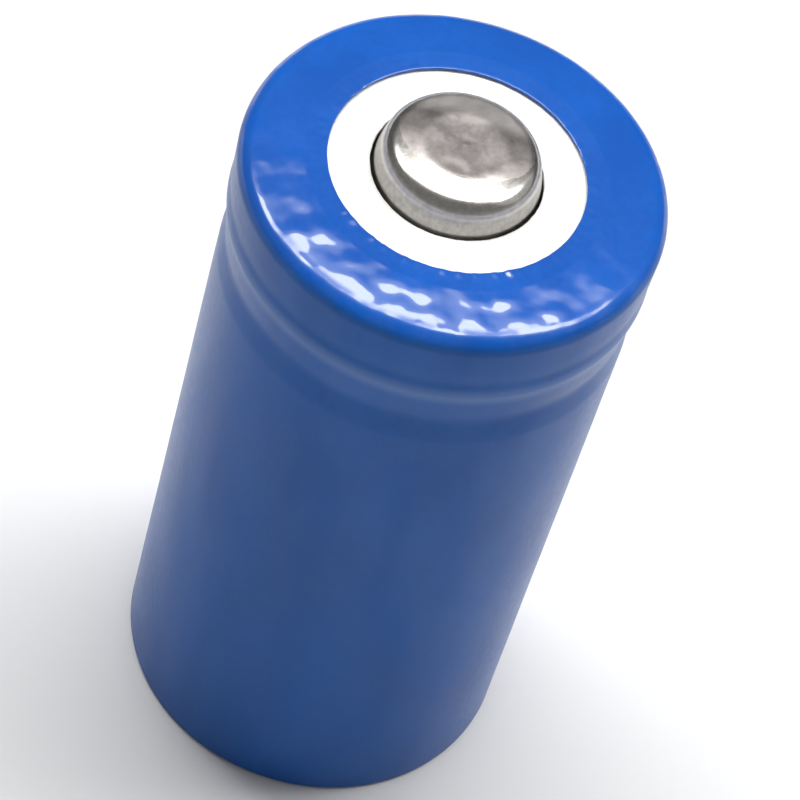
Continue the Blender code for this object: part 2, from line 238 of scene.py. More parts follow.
def plate(name, outlines, z0, z1, soft):
    """A flat plate from a set of closed outlines, the first the rim and the others holes, with softened edges."""
    curve = bpy.data.curves.new(name, "CURVE")
    curve.dimensions = "2D"
    curve.fill_mode = "BOTH"
    curve.extrude = ((z1 - z0) / 2 - soft) * MM
    curve.bevel_depth = soft * MM
    curve.bevel_resolution = 3
    curve.offset = -soft * MM
    for points in outlines:
        spline = curve.splines.new("POLY")
        spline.points.add(len(points) - 1)
        for p, (x, y) in zip(spline.points, points):
            p.co = (x * MM, y * MM, 0.0, 1.0)
        spline.use_cyclic_u = True
    carrier = bpy.data.objects.new(name + "_outline", curve)
    bpy.context.scene.collection.objects.link(carrier)
    bpy.context.view_layer.update()
    dg = bpy.context.evaluated_depsgraph_get()
    mesh = bpy.data.meshes.new_from_object(carrier.evaluated_get(dg), depsgraph=dg)
    bpy.data.objects.remove(carrier, do_unlink=True)
    bpy.data.curves.remove(curve)
    mesh.transform(Matrix.Translation((0, 0, (z0 + z1) / 2 * MM)))
    import bmesh
    bm = bmesh.new()
    bm.from_mesh(mesh)
    bmesh.ops.remove_doubles(bm, verts=bm.verts, dist=1e-7)
    bmesh.ops.recalc_face_normals(bm, faces=bm.faces)
    bm.to_mesh(mesh)
    bm.free()
    return mesh


def circle(radius, steps, x=0.0, y=0.0, turn=1):
    return [(x + radius * math.cos(turn * TAU * k / steps), y + radius * math.sin(turn * TAU * k / steps))
            for k in range(steps)]


def cut_away(mesh, cutters):
    """The mesh with these closed meshes cut out of it."""
    body = bpy.data.objects.new("cut_body", mesh)
    bpy.context.scene.collection.objects.link(body)
    tools = []
    for k, cutter in enumerate(cutters):
        tool = bpy.data.objects.new(f"cut_tool_{k}", cutter)
        bpy.context.scene.collection.objects.link(tool)
        tools.append(tool)
        made = body.modifiers.new(f"cut_{k}", "BOOLEAN")
        made.operation, made.solver, made.object = "DIFFERENCE", "EXACT", tool
    bpy.context.view_layer.update()
    dg = bpy.context.evaluated_depsgraph_get()
    result = bpy.data.meshes.new_from_object(body.evaluated_get(dg), depsgraph=dg)
    for obj in [body] + tools:
        bpy.data.objects.remove(obj, do_unlink=True)
    return result


def sweep(name, frames, section, kinds=None):
    """Carries a closed section (across, up) along frames (point, across direction, up direction), capped at both ends."""
    verts, faces, marks = [], [], []
    n = len(section)
    for point, across, up in frames:
        for u, v in section:
            verts.append((point + across * u + up * v) * MM)
    for i in range(len(frames) - 1):
        for j in range(n):
            a, b = i * n + j, i * n + (j + 1) % n
            faces.append([a, b, b + n, a + n])
            marks.append(kinds[j] if kinds else 0)
    faces += [list(range(n))[::-1], [(len(frames) - 1) * n + j for j in range(n)]]
    marks += [0, 0]
    mesh = build_mesh(name, verts, faces, marks)
    face_out(mesh)
    return mesh


def soft_box(w, t, soft, steps=3):
    """The outline of a w by t strip end with softened corners."""
    out = []
    for cx, cy, start in ((w / 2 - soft, t / 2 - soft, 0), (-w / 2 + soft, t / 2 - soft, 1),
                          (-w / 2 + soft, -t / 2 + soft, 2), (w / 2 - soft, -t / 2 + soft, 3)):
        for k in range(steps + 1):
            a = math.pi / 2 * (start + k / steps)
            out.append((cx + soft * math.cos(a), cy + soft * math.sin(a)))
    return out


def ribbon(name, path, thickness, width, wave=0.0):
    """A flat ribbon across Y whose middle follows rounded (x, z, radius) corners."""
    line = fine(rounded(path, 6.0), 0.15)
    frames = []
    for i, p in enumerate(line):
        d = (line[min(i + 1, len(line) - 1)] - line[max(i - 1, 0)]).normalized()
        lift = wave * noise.noise(Vector((p.x * 0.9, p.y * 0.9, 4.2)))
        frames.append((Vector((p.x - d.y * lift, 0.0, p.y + d.x * lift)),
                       Vector((0, 1, 0)), Vector((-d.y, 0, d.x))))
    return sweep(name, frames, soft_box(width, thickness, thickness * 0.32))


def spiral_frames(start_r, pitch, turn0, turn1, steps, z=0.0):
    frames = []
    count = int((turn1 - turn0) * steps)
    for k in range(count + 1):
        t = turn0 + (turn1 - turn0) * k / count
        a, r = TAU * t, start_r + pitch * t
        out = Vector((math.cos(a), math.sin(a), 0))
        frames.append((out * r + Vector((0, 0, z)), out, Vector((0, 0, 1))))
    return frames


# ---------------------------------------------------------------- materials

class Look:
    """A Principled material with the handful of node steps that the looks below are made of."""

    def __init__(self, name, colour, roughness, metallic=0.0, **sockets):
        self.material = bpy.data.materials.new(name)
        self.material.use_nodes = True
        self.material.diffuse_color = (*colour, 1.0)
        self.tree = self.material.node_tree
        self.shader = self.tree.nodes["Principled BSDF"]
        self.set("Base Color", (*colour, 1.0))
        self.set("Roughness", roughness)
        self.set("Metallic", metallic)
        for socket, value in sockets.items():
            self.set(socket.replace("_", " "), value)
        self.here = self.node("ShaderNodeTexCoord").outputs["Object"]

    def set(self, socket, value):
        self.shader.inputs[socket].default_value = value

    def node(self, kind, **values):
        made = self.tree.nodes.new(kind)
        for key, value in values.items():
            setattr(made, key, value)
        return made

    def link(self, a, b):
        self.tree.links.new(a, b)

    def feed(self, value, socket):
        if isinstance(value, bpy.types.NodeSocket):
            self.link(value, socket)
        else:
            socket.default_value = value

    def stretched(self, x, y, z):
        """The place on the piece, with each axis at this many cells a millimetre."""
        made = self.node("ShaderNodeVectorMath", operation="MULTIPLY")
        self.link(self.here, made.inputs[0])
        made.inputs[1].default_value = (x / MM, y / MM, z / MM)
        return made.outputs[0]

    def math(self, operation, a, b=0.0):
        made = self.node("ShaderNodeMath", operation=operation)
        self.feed(a, made.inputs[0])
        self.feed(b, made.inputs[1])
        return made.outputs[0]

    def radius(self):
        """Distance from the axis, in millimetres."""
        flat = self.node("ShaderNodeVectorMath", operation="MULTIPLY")
        self.link(self.here, flat.inputs[0])
        flat.inputs[1].default_value = (1 / MM, 1 / MM, 0.0)
        length = self.node("ShaderNodeVectorMath", operation="LENGTH")
        self.link(flat.outputs[0], length.inputs[0])
        return length.outputs["Value"]

    def height(self):
        parts = self.node("ShaderNodeSeparateXYZ")
        self.link(self.here, parts.inputs[0])
        return self.math("MULTIPLY", parts.outputs["Z"], 1 / MM)

    def joined(self, x, y, z):
        made = self.node("ShaderNodeCombineXYZ")
        for value, socket in zip((x, y, z), made.inputs):
            self.feed(value, socket)
        return made.outputs[0]

    def noise(self, where, scale=1.0, detail=3.0, rough=0.55, warp=0.0):
        made = self.node("ShaderNodeTexNoise")
        self.link(where, made.inputs["Vector"])
        made.inputs["Scale"].default_value = scale
        made.inputs["Detail"].default_value = detail
        made.inputs["Roughness"].default_value = rough
        made.inputs["Distortion"].default_value = warp
        return made.outputs["Fac"]

    def cells(self, where, scale=1.0, feature="F1"):
        made = self.node("ShaderNodeTexVoronoi", feature=feature)
        self.link(where, made.inputs["Vector"])
        made.inputs["Scale"].default_value = scale
        return made.outputs["Distance"]

    def between(self, value, low, high, out_low=0.0, out_high=1.0):
        made = self.node("ShaderNodeMapRange", interpolation_type="SMOOTHSTEP")
        self.link(value, made.inputs["Value"])
        for socket, number in (("From Min", low), ("From Max", high),
                               ("To Min", out_low), ("To Max", out_high)):
            made.inputs[socket].default_value = number
        return made.outputs["Result"]

    def mix(self, factor, a, b):
        made = self.node("ShaderNodeMix", data_type="RGBA")
        self.feed(factor, made.inputs["Factor"])
        for value, socket in ((a, made.inputs[6]), (b, made.inputs[7])):
            self.feed(value if isinstance(value, bpy.types.NodeSocket) else (*value, 1.0), socket)
        return made.outputs[2]

    def colour(self, value):
        self.link(value, self.shader.inputs["Base Color"])
        return self

    def rough(self, value):
        self.link(value, self.shader.inputs["Roughness"])
        return self

    def metal(self, value):
        self.link(value, self.shader.inputs["Metallic"])
        return self

    def bump(self, *layers):
        """Relief from (height, depth in millimetres) layers."""
        normal = None
        for value, depth in layers:
            made = self.node("ShaderNodeBump")
            made.inputs["Strength"].default_value = 1.0
            made.inputs["Distance"].default_value = depth * MM
            self.link(value, made.inputs["Height"])
            if normal is not None:
                self.link(normal, made.inputs["Normal"])
            normal = made.outputs["Normal"]
        self.link(normal, self.shader.inputs["Normal"])
        return self


def film_look():
    """Glossy PVC shrink film: blue, with painted shade on the side and a painted highlight on the bead's lower lip,
    faint streaks along the draw, an orange-peel surface.
    """
    k = Look("blue_shrink_film", (0.0045, 0.082, 0.405), 0.30, IOR=1.50)
    k.set("Specular IOR Level", 0.16)
    k.set("Coat Roughness", 0.05)
    k.set("Coat IOR", 1.55)
    cloud = k.noise(k.stretched(0.30, 0.30, 0.14), 1.0, 2.0, 0.5)
    grain = k.noise(k.stretched(4.0, 4.0, 2.2), 1.0, 2.0, 0.5)
    tone = k.math("ADD", k.math("MULTIPLY", cloud, 0.7), k.math("MULTIPLY", grain, 0.3))
    even = k.mix(k.between(tone, 0.35, 0.65), (0.0038, 0.076, 0.375), (0.0052, 0.092, 0.435))
    z = k.height()
    # painted shade: the side is given a darker, greyer copy of the end face's blue, for the dimmer light that falls on
    # the side
    side = k.mix(k.between(tone, 0.35, 0.65), (0.0040, 0.072, 0.295), (0.0055, 0.086, 0.340))
    even = k.mix(k.between(z, 31.9, 32.3), side, even)
    # painted highlight: a paler band of colour over the bead's lower lip, for the light line that shows there
    painted_lip_highlight = k.math("MULTIPLY", k.between(z, 28.45, 29.15), k.between(z, 29.75, 29.25))
    k.colour(k.mix(k.math("MULTIPLY", painted_lip_highlight, 0.75), even, (0.085, 0.170, 0.40)))
    k.rough(k.between(grain, 0.30, 0.70, 0.29, 0.34))
    # the heat leaves the end face glossy and the side satin
    gloss = k.between(k.height(), 31.9, 32.35, 0.08, 1.00)
    scuff = k.between(k.noise(k.stretched(0.62, 0.62, 0.2), 1.0, 2.0, 0.5), 0.40, 0.56)
    worn = k.math("MULTIPLY", k.between(k.radius(), 7.62, 7.86), k.math("SUBTRACT", 1.0, scuff))
    gloss = k.math("MULTIPLY", gloss, k.math("SUBTRACT", 1.0, k.math("MULTIPLY", worn, 0.80)))
    k.link(gloss, k.shader.inputs["Coat Weight"])
    peel = k.noise(k.stretched(2.2, 2.2, 1.6), 1.0, 1.0, 0.4)
    k.bump((peel, 0.0030))
    return k.material


def board_look(name, light, dark, fibre=1.0):
    """Pressed fibre board: matte, with short fibres lying every way and a few darker specks."""
    k = Look(name, light, 0.8)
    k.set("Specular IOR Level", 0.3)
    along = k.noise(k.stretched(2.2 * fibre, 11.0 * fibre, 4.0), 1.0, 4.0, 0.6, 1.4)
    cross = k.noise(k.stretched(11.0 * fibre, 2.4 * fibre, 4.0), 1.0, 4.0, 0.6, 1.4)
    felt = k.math("MAXIMUM", along, cross)
    speck = k.between(k.noise(k.stretched(6.0, 6.0, 6.0), 1.0, 2.0), 0.70, 0.80)
    base = k.mix(k.between(felt, 0.42, 0.72), dark, light)
    shade = tuple(c * 0.90 for c in dark)
    k.colour(k.mix(k.math("MULTIPLY", speck, 0.5), base, shade))
    k.rough(k.between(felt, 0.4, 0.7, 0.88, 0.74))
    k.bump((felt, 0.010), (k.noise(k.stretched(30.0, 30.0, 30.0), 1.0, 3.0), 0.003))
    return k.material


def cap_look():
    """Nickel plate: polished on the drawn shoulder and side, matte and mottled on the struck flat, with painted light
    making the flat paler towards the back and painted shade darkening the lower side.
    """
    k = Look("nickel_plate", (0.58, 0.555, 0.52), 0.18, 1.0)
    r, z = k.radius(), k.height()
    wobble = k.noise(k.stretched(1.1, 1.1, 1.1), 1.0, 3.0, 0.6)
    # the dull patch is struck a little off centre and has a crisp edge in front
    away = k.node("ShaderNodeVectorMath", operation="SUBTRACT")
    k.link(k.here, away.inputs[0])
    away.inputs[1].default_value = (0.0, 0.58 * MM, 0.0)
    level = k.node("ShaderNodeVectorMath", operation="MULTIPLY")
    k.link(away.outputs[0], level.inputs[0])
    level.inputs[1].default_value = (0.80 / MM, 1 / MM, 0.0)
    length = k.node("ShaderNodeVectorMath", operation="LENGTH")
    k.link(level.outputs[0], length.inputs[0])
    rim = k.math("ADD", length.outputs["Value"], k.between(wobble, 0.3, 0.7, -0.05, 0.05))
    flat = k.math("MULTIPLY", k.between(rim, 2.24, 2.12), k.between(z, 33.74, 33.84))
    place = k.node("ShaderNodeSeparateXYZ")
    k.link(k.here, place.inputs[0])
    # painted light: towards the back (+Y) the matte flat is painted paler and made a little rougher
    back = k.between(k.math("MULTIPLY", place.outputs["Y"], 1 / MM), 1.05, 1.85)
    mottle = k.noise(k.stretched(1.15, 1.15, 1.0), 1.0, 5.0, 0.62, 0.6)
    specks = k.noise(k.stretched(4.5, 4.5, 4.0), 1.0, 4.0, 0.65)
    cloudy = k.math("ADD", k.math("MULTIPLY", mottle, 0.65), k.math("MULTIPLY", specks, 0.35))
    matte = k.mix(k.between(cloudy, 0.38, 0.62), (0.31, 0.283, 0.277), (0.405, 0.374, 0.362))
    # the painted light on the back of the flat
    matte = k.mix(k.math("MULTIPLY", back, 0.50), matte, (0.72, 0.69, 0.67))
    bright = k.mix(k.between(specks, 0.35, 0.70), (0.50, 0.48, 0.45), (0.60, 0.575, 0.54))
    # painted shade: below z 33.1 the polished side is given darker colours
    bright = k.mix(k.between(z, 33.30, 33.10), bright, k.mix(k.between(specks, 0.35, 0.65), (0.33, 0.315, 0.30), (0.42, 0.40, 0.38)))
    k.colour(k.mix(flat, bright, matte))
    crown = k.math("MULTIPLY", k.between(specks, 0.3, 0.7, 0.00, 0.03), k.between(z, 33.74, 33.84))
    side = k.math("MULTIPLY", k.between(z, 33.66, 33.56), 0.12)
    smooth_part = k.math("ADD", k.math("ADD", crown, side), 0.20)
    matte_part = k.math("ADD", k.between(cloudy, 0.35, 0.65, 0.300, 0.325), k.math("MULTIPLY", back, 0.085))
    part = k.node("ShaderNodeMix", data_type="FLOAT")
    k.link(flat, part.inputs[0])
    k.link(smooth_part, part.inputs[2])
    k.link(matte_part, part.inputs[3])
    k.rough(part.outputs[0])
    drawn = k.noise(k.joined(k.math("MULTIPLY", r, 9.0), k.math("MULTIPLY", z, 9.0), 0.5), 1.0, 3.0, 0.6)
    pits = k.math("MULTIPLY", flat, k.noise(k.stretched(5.0, 5.0, 5.0), 1.0, 1.5, 0.5))
    k.bump((drawn, 0.0012), (pits, 0.0018))
    return k.material


def steel_look():
    """Drawn, nickel-flashed steel: long draw lines on the wall, turned rings on the bottom."""
    k = Look("drawn_steel", (0.56, 0.56, 0.55), 0.3, 1.0)
    r, z = k.radius(), k.height()
    draw = k.noise(k.stretched(9.0, 9.0, 0.35), 1.0, 3.0, 0.6)
    rings = k.noise(k.joined(k.math("MULTIPLY", r, 7.0), k.math("MULTIPLY", z, 0.6), 0.2), 1.0, 3.0, 0.6)
    low = k.between(z, 0.45, 0.25)
    part = k.node("ShaderNodeMix", data_type="FLOAT")
    k.link(low, part.inputs[0])
    k.link(draw, part.inputs[2])
    k.link(rings, part.inputs[3])
    lines = part.outputs[0]
    cloud = k.noise(k.stretched(0.5, 0.5, 0.5), 1.0, 4.0, 0.6)
    k.colour(k.mix(k.between(cloud, 0.3, 0.7), (0.50, 0.50, 0.485), (0.63, 0.63, 0.615)))
    k.rough(k.between(lines, 0.3, 0.7, 0.22, 0.40))
    k.bump((lines, 0.003), (k.noise(k.stretched(12.0, 12.0, 12.0), 1.0, 3.0), 0.0012))
    return k.material


def sheet_metal_look(name, dark, light, low, high, across=12.0, along=0.5):
    """Rolled sheet: fine lines along X, a little clouding."""
    k = Look(name, light, (low + high) / 2, 1.0)
    lines = k.noise(k.stretched(along, across, across), 1.0, 4.0, 0.62)
    cloud = k.noise(k.stretched(0.8, 0.8, 0.8), 1.0, 4.0, 0.6)
    tone = k.math("ADD", k.math("MULTIPLY", lines, 0.5), k.math("MULTIPLY", cloud, 0.5))
    k.colour(k.mix(k.between(tone, 0.35, 0.65), dark, light))
    k.rough(k.between(lines, 0.3, 0.7, low, high))
    k.bump((lines, 0.0020), (cloud, 0.0020))
    return k.material


def plastic_look(name, dark, light, low, high, grain=8.0, depth=0.002, **sockets):
    """Moulded or extruded plastic with a fine grain and soft clouding."""
    k = Look(name, light, (low + high) / 2, 0.0, **sockets)
    cloud = k.noise(k.stretched(0.7, 0.7, 0.7), 1.0, 4.0, 0.6)
    fleck = k.noise(k.stretched(grain, grain, grain), 1.0, 3.0, 0.6)
    tone = k.math("ADD", k.math("MULTIPLY", cloud, 0.65), k.math("MULTIPLY", fleck, 0.35))
    k.colour(k.mix(k.between(tone, 0.35, 0.65), dark, light))
    k.rough(k.between(fleck, 0.3, 0.7, low, high))
    k.bump((fleck, depth), (cloud, depth * 2))
    return k.material


def coating_look(name, dark, light, low, high):
    """Calendered electrode coating: a dense powder with pin-point grain and faint coating streaks."""
    k = Look(name, light, (low + high) / 2)
    k.set("Specular IOR Level", 0.25)
    powder = k.noise(k.stretched(22.0, 22.0, 22.0), 1.0, 4.0, 0.7)
    streak = k.noise(k.stretched(1.4, 1.4, 0.15), 1.0, 4.0, 0.6)
    tone = k.math("ADD", k.math("MULTIPLY", powder, 0.6), k.math("MULTIPLY", streak, 0.4))
    k.colour(k.mix(k.between(tone, 0.35, 0.65), dark, light))
    k.rough(k.between(powder, 0.3, 0.7, low, high))
    k.bump((powder, 0.004), (streak, 0.002))
    return k.material


def ptc_look():
    """Carbon-filled polymer between two nickel foils: the flats are foil, the edges show the polymer."""
    k = Look("ptc_laminate", (0.06, 0.06, 0.065), 0.4, 0.5)
    parts = k.node("ShaderNodeSeparateXYZ")
    k.link(k.tree.nodes["Texture Coordinate"].outputs["Normal"], parts.inputs[0])
    foil = k.between(k.math("ABSOLUTE", parts.outputs["Z"]), 0.80, 0.92)
    grain = k.noise(k.stretched(9.0, 9.0, 9.0), 1.0, 4.0, 0.65)
    nickel = k.mix(k.between(grain, 0.35, 0.65), (0.50, 0.49, 0.46), (0.62, 0.61, 0.58))
    black = k.mix(k.between(grain, 0.35, 0.65), (0.035, 0.035, 0.038), (0.070, 0.070, 0.075))
    k.colour(k.mix(foil, black, nickel))
    k.metal(foil)
    k.rough(k.between(grain, 0.3, 0.7, 0.30, 0.48))
    k.bump((grain, 0.003))
    return k.material


# ---------------------------------------------------------------- the wrap

FILM = 0.10
SLEEVE = [
    (5.15, 32.585, 0),
    (6.00, 32.600, 0.9),
    (8.50, 32.338, 0.70),
    (8.46, 30.60, 2.5),
    (8.428, 29.95, 2.0),
    (8.485, 29.20, 0.9),
    (8.215, 27.35, 2.2),
    (8.35, 26.08, 3.0),
    (8.35, 0.0, 0.22),
    (6.90, 0.0, 0)]


def scatter(k, n):
    """A repeatable number between -1 and 1."""
    return noise.noise(Vector((k * 3.71 + 0.37, n * 5.13 + 0.61, 0.29))) * 1.8


BLISTERS = {}
for row, (ring, count) in enumerate(((6.50, 25), (7.38, 28))):
    for k in range(count):
        turn = TAU * (k + 0.5 * (row % 2) + 0.30 * scatter(k, row)) / count
        at = ring + 0.15 * scatter(k, row + 9)
        calm = 0.16 + 0.84 * smooth(0.0, 0.50, -math.sin(turn))
        bump = (at * math.cos(turn), at * math.sin(turn), 0.46 + 0.08 * scatter(k, row + 20),
                calm * (0.050 + 0.022 * scatter(k, row + 31)), 1.35 + 0.30 * scatter(k, row + 44))
        BLISTERS.setdefault((round(bump[0]), round(bump[1])), []).append(bump)


def blisters(x, y):
    """Soft round swellings of the shrunk film, in loose rows between the washer's edge and the shoulder."""
    lift = 0.0
    for i in (-1, 0, 1):
        for j in (-1, 0, 1):
            for cx, cy, wide, high, long in BLISTERS.get((round(x) + i, round(y) + j), ()):
                ring = math.hypot(cx, cy)
                out = ((x - cx) * cx + (y - cy) * cy) / ring
                side = ((y - cy) * cx - (x - cx) * cy) / ring
                d2 = (out / wide) ** 2 + (side / (wide * long)) ** 2
                if d2 < 6.0:
                    lift += high * math.exp(-d2)
    return lift


def film_relief(r, z, a, nr, nz):
    """The film's own shape: lumps where it has shrunk down past the washer's edge, pleats at both openings and a slow unevenness down the side."""
    ca, sa = math.cos(a), math.sin(a)
    x, y = r * ca, r * sa
    lift = 0.0
    if z > 31.9:
        lumps = noise.noise(Vector((x / 0.95, y / 0.95, 3.1)))
        more = noise.noise(Vector((x / 0.42, y / 0.42, 7.7)))
        reach = smooth(5.75, 6.25, r) * (1.0 - 0.72 * smooth(7.75, 8.05, r)) * (1.0 - smooth(8.15, 8.45, r))
        calm = 0.25 + 0.75 * smooth(0.0, 0.50, -sa)
        lift += calm * reach * (0.018 * lumps + 0.008 * more)
        lift += (1.0 - smooth(8.25, 8.45, r)) * blisters(x, y)
        rim = 1.0 - smooth(5.30, 5.95, r)
        lift += rim * 0.010 * (noise.noise(Vector((ca * 17, sa * 17, 31.0))) - 0.1)
        if r < 5.6:
            pull = (1.0 - smooth(5.15, 5.55, r))
            curl = max(0.0, 0.010 + 0.075 * noise.noise(Vector((ca * 14, sa * 14, 52.0))))
            lift += pull * curl * smooth(0.55, 0.85, -sa)
            r += pull * (0.010 * noise.noise(Vector((ca * 2.1, sa * 2.1, 41.0)))
                         + 0.010 * noise.noise(Vector((ca * 13, sa * 13, 44.0))))
    else:
        slow = noise.noise(Vector((x / 4.2, y / 4.2, z / 6.5 + 9)))
        wave = noise.noise(Vector((x / 1.7, y / 1.7, z / 3.2 + 60)))
        side = smooth(0.5, 1.6, z) * (1.0 - 0.6 * smooth(29.0, 29.8, z))
        lift += side * (0.012 * slow + 0.0035 * wave)
        groove = smooth(29.3, 29.6, z) * (1.0 - smooth(29.8, 30.3, z))
        lift += groove * 0.010 * noise.noise(Vector((ca * 9, sa * 9, z / 2 + 80)))
        if z < 0.3:
            fold = 1.0 - smooth(7.4, 8.1, r)
            lift -= fold * 0.022 * abs(noise.noise(Vector((ca * 12, sa * 12, r / 1.2 + 90))))
            if r < 7.4:
                r += (1.0 - smooth(6.9, 7.3, r)) * (0.08 * noise.noise(Vector((ca * 3, sa * 3, 101)))
                                                    + 0.04 * noise.noise(Vector((ca * 14, sa * 14, 103))))
    return r + nr * lift, z + nz * lift


def outward(section):
    """The section in the order that puts its normals outside when it is turned."""
    area = sum(a.x * b.y - b.x * a.y for a, b in zip(section, section[1:] + section[:1]))
    return section if area > 0 else section[::-1]


def make_sleeve(look):
    def step(p):
        if p.y > 32.0:
            return 0.09
        if p.y > 26.0 or p.y < 0.6:
            return 0.14
        return 0.8
    outer, last, inner, first = sheet_section(SLEEVE, FILM, step, 4.0)
    normals = {}
    section = outer + last + inner + first

    def relief(r, z, a, nr, nz):
        # both faces move together, so the film keeps its thickness
        way = normals[(round(r, 6), round(z, 6))]
        r2, z2 = film_relief(r, z, a, way[0], way[1])
        return r2, z2

    def line_normals(line, flip):
        for i, p in enumerate(line):
            d = (line[min(i + 1, len(line) - 1)] - line[max(i - 1, 0)])
            d = d.normalized() if d.length > 1e-12 else Vector((1, 0))
            n = Vector((-d.y, d.x)) * flip
            normals[(round(p.x, 6), round(p.y, 6))] = (n.x, n.y)

    line_normals(outer, 1)
    line_normals(inner, -1)
    for p in last:
        normals[(round(p.x, 6), round(p.y, 6))] = (0.0, -1.0)
    for p in first:
        normals[(round(p.x, 6), round(p.y, 6))] = (0.0, 1.0)
    mesh = lathe("shrink_sleeve", section, 600, True, relief)
    return piece("shrink_sleeve", mesh, look, ["heat_shrink_sleeve"], 50)


# ---------------------------------------------------------------- terminal end

def make_washer(look):
    def relief(r, z, a, nr, nz):
        ca, sa = math.cos(a), math.sin(a)
        edge = 1.0 - smooth(3.45, 3.62, r)
        fray = 0.022 * noise.noise(Vector((ca * 9, sa * 9, z * 3))) + 0.010 * noise.noise(Vector((ca * 26, sa * 26, 5)))
        flat = 0.006 * noise.noise(Vector((r * ca * 1.1, r * sa * 1.1, 12.0))) if z > 32.3 else 0.0
        return r + edge * fray, z + flat
    section = soft_ring(3.42, 6.35, 32.17, 32.43, 0.045, 15.0, 0.12)
    mesh = lathe("washer_board", section, 360, True, relief)
    return piece("washer_board", mesh, look, ["insulating_washer"], 50)


def make_cap(look):
    outer = fine(rounded([(0.0, 34.0, 0), (1.60, 34.0, 2.0), (3.02, 33.795, 0.72),
                          (3.30, 32.55, 0.6), (3.30, 32.15, 0.28), (4.70, 31.50, 0.45), (7.48, 31.50, 0)], 4.0), 0.12)
    inner = offset(outer, 0.30)
    inner[0].x = 0.0
    rim = round_end(outer[-1], inner[-1])
    section = outer + rim + inner[::-1]

    def relief(r, z, a, nr, nz):
        # shallow unevenness of the struck flat, as a stamped cap has
        if z > 33.9 and r < 1.9:
            x, y = r * math.cos(a), r * math.sin(a)
            z += (1.0 - smooth(1.5, 1.85, r)) * 0.008 * (noise.noise(Vector((x / 1.1, y / 1.1, 2.0)))
                                                       + 0.5 * noise.noise(Vector((x / 0.5, y / 0.5, 6.0))) - 0.95)
        return r, z
    mesh = lathe("button_cap", section, 288, False, relief)
    cutters = []
    for k in range(4):
        a = TAU * (k + 0.5) / 4
        cutter = lathe("window", [Vector((0.0, 31.0)), Vector((0.45, 31.0)), Vector((0.45, 32.6)), Vector((0.0, 32.6))],
                       40, False)
        cutter.transform(Matrix.Translation((3.95 * math.cos(a) * MM, 3.95 * math.sin(a) * MM, 0)))
        cutters.append(cutter)
    mesh = cut_away(mesh, cutters)
    return piece("button_cap", mesh, look, ["positive_cap"], 40)


def make_can(look):
    outer, last, inner, first = sheet_section([
        (5.60, 32.08, 0),
        (6.30, 32.10, 1.0),
        (8.32, 32.28, 0.60),
        (8.32, 30.20, 0.30),
        (7.10, 29.90, 0.28),
        (7.10, 29.35, 0.28),
        (8.28, 29.20, 0.30),
        (8.075, 27.20, 1.5),
        (8.21, 26.05, 1.5),
        (8.21, 0.16, 0.50),
        (6.30, 0.16, 0.06),
        (6.00, 0.12, 0.06),
        (0.0, 0.12, 0)], 0.25, 0.4, 5.0)
    section = outer + last + inner + first

    def relief(r, z, a, nr, nz):
        # two round resistance-weld marks on the bottom, pressed up a little
        if z < 0.6 and r < 2.6:
            x, y = r * math.cos(a), r * math.sin(a)
            for cx in (-0.85, 0.85):
                d = math.hypot(x - cx, y)
                z += 0.035 * (1.0 - smooth(0.30, 0.52, d)) - 0.006 * smooth(0.40, 0.55, d) * (1 - smooth(0.55, 0.75, d))
        return r, z
    mesh = lathe("steel_can", refine_bottom(section), 288, False, relief)
    return piece("steel_can", mesh, look, ["cell_can"], 40)


def refine_bottom(section):
    """Closer rings round the middle of the bottom, where the weld marks are."""
    out = [section[0]]
    for a, b in zip(section, section[1:]):
        n = 1
        if max(a.x, b.x) < 2.8 and max(a.y, b.y) < 0.7:
            n = max(1, math.ceil((b - a).length / 0.07))
        out += [a.lerp(b, k / n) for k in range(1, n + 1)]
    return out


def make_gasket(look):
    line = rounded([
        (7.30, 30.30, 0),
        (8.04, 30.45, 0.14),
        (8.04, 31.78, 0.50),
        (5.45, 31.78, 0.10),
        (5.45, 31.54, 0.10),
        (7.57, 31.54, 0.05),
        (7.57, 30.70, 0.05),
        (6.60, 30.70, 0.12),
        (6.60, 30.24, 0.12),
        (7.30, 30.30, 0)], 8.0)
    mesh = lathe("seal_gasket", outward(fine(line, 0.25)[:-1]), 240)
    return piece("seal_gasket", mesh, look, ["crimp_gasket"], 40)


def make_ptc(look):
    mesh = lathe("ptc_washer", outward(soft_ring(5.20, 7.48, 30.94, 31.16, 0.03)), 240)
    return piece("ptc_washer", mesh, look, ["ptc_ring"], 40)


def make_diaphragm(look):
    """Rim, cone, score ring and welded centre in one stamped sheet."""
    upper = rounded([(7.48, 30.90, 0), (4.95, 30.90, 0.25), (4.15, 30.14, 0.30), (2.62, 30.085, 0), (2.55, 30.035, 0),
                     (2.48, 30.075, 0), (1.55, 30.02, 0.2), (1.35, 30.01, 0.10), (0.90, 30.01, 0.05),
                     (0.75, 29.89, 0.06), (0.0, 29.89, 0)], 8.0)
    lower = rounded([(0.0, 29.74, 0), (0.90, 29.74, 0.10), (1.32, 29.86, 0.12), (4.06, 29.985, 0.35),
                     (4.86, 30.75, 0.35), (7.48, 30.75, 0)], 8.0)
    upper, lower = fine(upper, 0.10), fine(lower, 0.10)
    section = upper + lower + round_end(lower[-1], upper[0])
    mesh = lathe("vent_diaphragm", section, 192, False)
    close_section(mesh)
    obj = piece("vent_diaphragm", mesh, look, ["vent_disc", "vent_disc_centre"], 40, body=None)
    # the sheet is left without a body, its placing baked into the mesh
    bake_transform(obj)
    return obj


